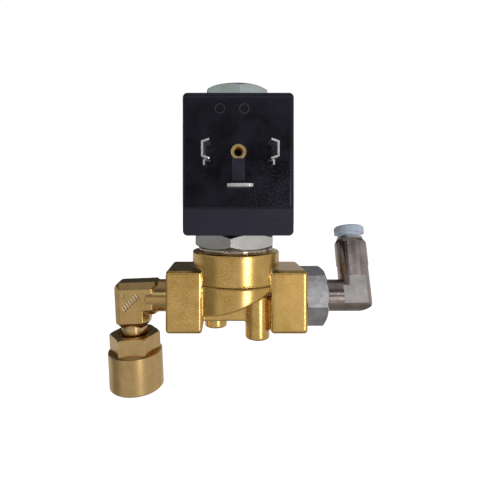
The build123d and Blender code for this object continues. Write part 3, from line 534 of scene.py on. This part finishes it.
def sloping_rib(bm):
    """The smooth rib under the coil's insert, which stands out further at its top."""
    rows = []
    for half_x, out_top, out_foot in (COIL_RIB_BACK, COIL_RIB_FACE):
        rows.append([
            bm.verts.new((x, COIL_FRONT_Y - out, z))
            for x, z, out in (
                (-half_x, COIL_RIB_TOP_Z, out_top),
                (half_x, COIL_RIB_TOP_Z, out_top),
                (half_x, COIL_RIB_FOOT_Z, out_foot),
                (-half_x, COIL_RIB_FOOT_Z, out_foot),
            )
        ])
    back, face = rows
    bm.faces.new(face)
    skin(bm, back, face)


def modify(made, name, kind, **settings):
    """Adds a modifier with its settings."""
    added = made.modifiers.new(name, kind)
    for key, value in settings.items():
        setattr(added, key, value)


def frame_slot(node_name):
    """The record's material slot of a CAD node."""
    return next(s["material_slot"] for s in frame["record"]["subparts"] if s["node"] == node_name)


def dress(name, finish, bevel):
    """Gives a CAD node its finish, and softens its sharp edges by a bevel in millimetres."""
    node = NODES[name]
    for slot in node.material_slots:
        slot.material = finish.material
    if bevel:
        modify(node, "weld", "WELD", merge_threshold=WELD_DISTANCE)
        modify(
            node, "edges", "BEVEL", width=bevel * MM, segments=2, limit_method="ANGLE",
            angle_limit=radians(28), harden_normals=False, use_clamp_overlap=True,
        )
        modify(node, "shading", "WEIGHTED_NORMAL", keep_sharp=True, weight=60)


def stand_in(node_name, name):
    """A copy of a CAD node, to be put in its place."""
    made = bpy.data.objects.new(name, NODES[node_name].data.copy())
    bpy.context.scene.collection.objects.link(made)
    return made


def take_over(made, node_name, finish, body):
    """Gives a stand-in its finish, and puts it in its CAD node's place."""
    made.data.materials.clear()
    made.data.materials.append(finish.material)
    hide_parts(node_name)
    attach(made, body)


def soften(node_name, name, finish, body, voxel, smoothing, round_over):
    """A cast or forged skin: the CAD solid with rounded edges, remeshed and relaxed."""
    made = stand_in(node_name, name)
    modify(made, "weld", "WELD", merge_threshold=WELD_DISTANCE)
    modify(
        made, "edges", "BEVEL", width=round_over * MM, segments=3, limit_method="ANGLE",
        angle_limit=radians(50), use_clamp_overlap=False,
    )
    modify(made, "remesh", "REMESH", mode="VOXEL", voxel_size=voxel * MM)
    modify(made, "relax", "SMOOTH", factor=0.5, iterations=smoothing)
    bpy.context.view_layer.update()
    evaluated = made.evaluated_get(bpy.context.evaluated_depsgraph_get())
    final = bpy.data.meshes.new_from_object(evaluated)
    made.modifiers.clear()
    made.data = final
    final.shade_smooth()
    take_over(made, node_name, finish, body)


def spring(node_name, name, finish, body):
    """A spring that its body pushes up, copied from its CAD node with a mesh of its own."""
    made = stand_in(node_name, name)
    take_over(made, node_name, finish, body)
    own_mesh(made)


# ---- Carried-over CAD nodes: the finish and the edge of those that differ from the rest ---------

EDGED = {
    "guide_base": (GUIDE_NICKEL, 0.12),
    "coil_nut": (ZINC, 0.12),
    "outlet_stem": (DARK_NICKEL, 0.12),
    "swivel_socket": (TURNED_BRASS, 0.1),
    "terminal_left": (TIN, 0.08),
    "terminal_right": (TIN, 0.08),
    "ground_terminal": (TIN, 0.08),
    "screw_insert": (INSERT_BRASS, 0.1),
    "push_in_elbow": (ELBOW_NICKEL, 0.06),
    "lock_washer": (ZINC, 0.08),
    "coil_housing": (RESIN, 0.3),
}
for part in NODES:
    dress(part, *EDGED.get(part, (FINISHES[frame_slot(part)], 0)))

# ---- Brass and steel ----------------------------------------------------------------------------

soften("valve_body", "body_casting", CAST_BRASS, "valve", 0.2, 4, 0.6)
soften("inlet_elbow", "elbow_forging", FORGED_BRASS, "valve", 0.14, 8, 0.15)
spring(
    "plunger_spring", "return_spring", SPRING_STEEL, "plunger",
)

# The machined neck of the elbow, just proud of the forging
piece(
    "elbow_neck", lambda bm: lathe(bm, NECK_OUTLINE),
    NECK_BRASS, "valve", place_on(INLET_CORNER, INLET_DOWN),
)

# Internal threads of the socket, of the two mounting bosses and of the connector screw's insert
piece(
    "socket_thread", lambda bm: thread(bm, **SOCKET_THREAD),
    TURNED_BRASS, "socket", place_on(INLET_CORNER, INLET_DOWN),
)
for label, site in BOSS_SITES.items():
    piece(
        f"boss_thread_{label}", lambda bm: thread(bm, **BOSS_THREAD),
        CAST_BRASS, "valve", place_on(site, (0, 0, 1)),
    )
piece(
    "insert_thread", lambda bm: thread(bm, **INSERT_THREAD),
    INSERT_BRASS, "coil",
    place_on((0, COIL_FRONT_Y - INSERT_PROUD, INSERT_Z), (0, 1, 0)),
)

# Raised bars on the elbow's flat front, coloured pale as a painted highlight, each with a low dark
# copy beside it as a painted shadow
RIB_PLACE = place_on(INLET_CORNER + INLET_FORWARD * BAR_FLOOR, INLET_FORWARD, INLET_ALONG)
piece("elbow_ribs", forged_ribs, HIGHLIT_RIB_BRASS, "valve", RIB_PLACE)
# A low dark copy of the bars, shifted down and right: a painted shadow
piece(
    "elbow_rib_shadows", lambda bm: forged_ribs(bm, drop=SHADOW_DROP, scale=SHADOW_SCALE),
    PAINTED_SHADOW_BRASS, "valve", RIB_PLACE,
)

# ---- The coil's front ---------------------------------------------------------------------------

piece("coil_rib", sloping_rib, RIB_RESIN, "coil")

# The rounded lip along the foot of the connector pad
piece(
    "coil_pad_lip",
    lambda bm: bmesh.ops.create_cone(
        bm, cap_ends=True, segments=32, radius1=LIP_R, radius2=LIP_R, depth=LIP_LENGTH,
    ),
    RESIN, "coil",
    place_on((0, COIL_FRONT_Y + LIP_INSET, BAND_TOP_Z + LIP_RISE), (1, 0, 0), (0, 1, 0)),
)

# Two plain date-wheel rings moulded into the coil's face, without figures
for label, ring_x in RING_SITES.items():
    piece(
        f"date_ring_{label}", lambda bm: lathe(bm, RING_OUTLINE),
        DUSTY_RESIN, "coil", place_on((ring_x, COIL_FRONT_Y, RING_Z), (0, -1, 0)),
    )

# ---- Studio -----------------------------------------------------------------------------------


def studio_world():
    """White for the camera. Reflections see a room, by the direction they leave in.

    A pale table lies below eye level, dimmer straight down and at the far left. The wall in front
    of the part is dark with one bright strip, the side walls are lighter low down, and the back
    wall is dark except low on the right, all under a grey ceiling.
    """
    world = bpy.data.worlds.new("studio")
    bpy.context.scene.world = world
    world.use_nodes = True
    tree = world.node_tree
    tree.nodes.clear()

    def step(value, low, high, to_low, to_high):
        inputs = {0: value, 1: low, 2: high, 3: to_low, 4: to_high}
        kind = "ShaderNodeMapRange"
        return add_node(tree, kind, inputs, interpolation_type="SMOOTHSTEP").outputs[0]

    def blend(factor, first, second):
        inputs = {MIX_FACTOR: factor, MIX_A: first, MIX_B: second}
        return add_node(tree, "ShaderNodeMix", inputs).outputs[0]

    place = add_node(tree, "ShaderNodeTexCoord", {}).outputs["Generated"]
    x, y, z = add_node(tree, "ShaderNodeSeparateXYZ", {0: place}).outputs
    aside = add_node(tree, "ShaderNodeMath", {0: x}, operation="ABSOLUTE").outputs[0]
    strip = step(z, 0.22, 0.32, FRONT_WALL, FRONT_PATCH)
    patch = blend(step(z, 0.43, 0.48, 0, 1), strip, FRONT_TOP)
    left = step(z, 0.30, 0.42, LEFT_WALL, LEFT_TOP)
    right = step(z, 0.30, 0.42, RIGHT_WALL, RIGHT_TOP)
    sides = blend(step(x, -0.3, 0.3, 0, 1), left, right)
    front = blend(step(aside, 0.40, 0.75, 0, 1), patch, sides)
    low_back = step(x, -0.06, 0.12, BACK_LEFT, BACK_RIGHT)
    back = blend(step(z, 0.33, 0.48, 0, 1), low_back, BACK_TOP)
    wall = blend(step(y, 0.2, 0.6, 0, 1), front, back)
    above = blend(step(z, 0.72, 0.9, 0, 1), wall, CEILING)
    table_left = blend(step(y, 0.1, 0.35, 0, 1), TABLE_LEFT, TABLE_FAR)
    far = blend(step(x, -0.88, -0.68, 1, 0), TABLE_FAR, table_left)
    table = blend(step(z, -1.0, -0.35, 0, 1), TABLE_BELOW, far)
    level = blend(step(z, -0.045, 0.01, 1, 0), above, table)
    inputs = {
        MIX_FACTOR: step(z, -0.1, 0.3, 0, 1), MIX_COLOUR_A: WARM_LOW, MIX_COLOUR_B: COOL_HIGH,
    }
    tint = add_node(tree, "ShaderNodeMix", inputs, data_type="RGBA").outputs[2]
    room = add_node(tree, "ShaderNodeBackground", {0: tint, 1: level}).outputs[0]
    white = {0: (1, 1, 1, 1), 1: 1.0}
    seen = add_node(tree, "ShaderNodeBackground", white).outputs[0]
    camera_ray = add_node(tree, "ShaderNodeLightPath", {}).outputs["Is Camera Ray"]
    mixed = add_node(tree, "ShaderNodeMixShader", {0: camera_ray, 1: room, 2: seen}).outputs[0]
    add_node(tree, "ShaderNodeOutputWorld", {0: mixed})


def pale_floor():
    """A pale matt sheet under the part, which its metal doesn't mirror."""
    mesh = bpy.data.meshes.new("floor")
    bm = bmesh.new()
    bmesh.ops.create_grid(bm, x_segments=1, y_segments=1, size=FLOOR_HALF)
    bm.to_mesh(mesh)
    bm.free()
    floor = bpy.data.objects.new("floor", mesh)
    bpy.context.scene.collection.objects.link(floor)
    floor.location = (0, 0, FLOOR_Z)
    floor.visible_glossy = False
    floor.visible_diffuse = False
    floor.visible_shadow = False
    look = Look("floor", Metallic=0.0, Roughness=0.9, Specular_IOR_Level=0.0)
    look.shader.inputs["Emission Color"].default_value = (1, 1, 1, 1)
    look.shader.inputs["Emission Strength"].default_value = FLOOR_GLOW
    shade = look.noise(0.002, detail=2)
    colour = look.mix(look.span(shade, 0.3, 0.7, 0, 1), (0.90, 0.90, 0.90), (0.93, 0.93, 0.93))
    look.feed(Base_Color=colour)
    floor.data.materials.append(look.material)


def window_light():
    """The one lamp: a tall window, far off to the front right."""
    light = bpy.data.lights.new("window", "AREA")
    light.shape = "RECTANGLE"
    light.size, light.size_y = WINDOW_SIZE
    light.energy = WINDOW_POWER
    light.color = WINDOW_COLOUR
    window = bpy.data.objects.new("window", light)
    bpy.context.scene.collection.objects.link(window)
    aim = Vector(WINDOW_AIM) - Vector(WINDOW_PLACE)
    window.location = WINDOW_PLACE
    window.rotation_euler = aim.to_track_quat("-Z", "Y").to_euler()


def level_camera():
    """A level camera in front of the part, shifted to frame it."""
    camera_data = bpy.data.cameras.new("camera")
    camera_data.lens = CAMERA_LENS
    camera_data.sensor_width = CAMERA_SENSOR
    camera_data.shift_x, camera_data.shift_y = CAMERA_SHIFT
    camera_data.clip_start = CAMERA_NEAR
    camera = bpy.data.objects.new("camera", camera_data)
    bpy.context.scene.collection.objects.link(camera)
    camera.location = CAMERA_PLACE
    camera.rotation_euler = (radians(90), 0, 0)
    bpy.context.scene.camera = camera


studio_world()
pale_floor()
window_light()
level_camera()
bpy.context.scene.view_settings.view_transform = "Standard"
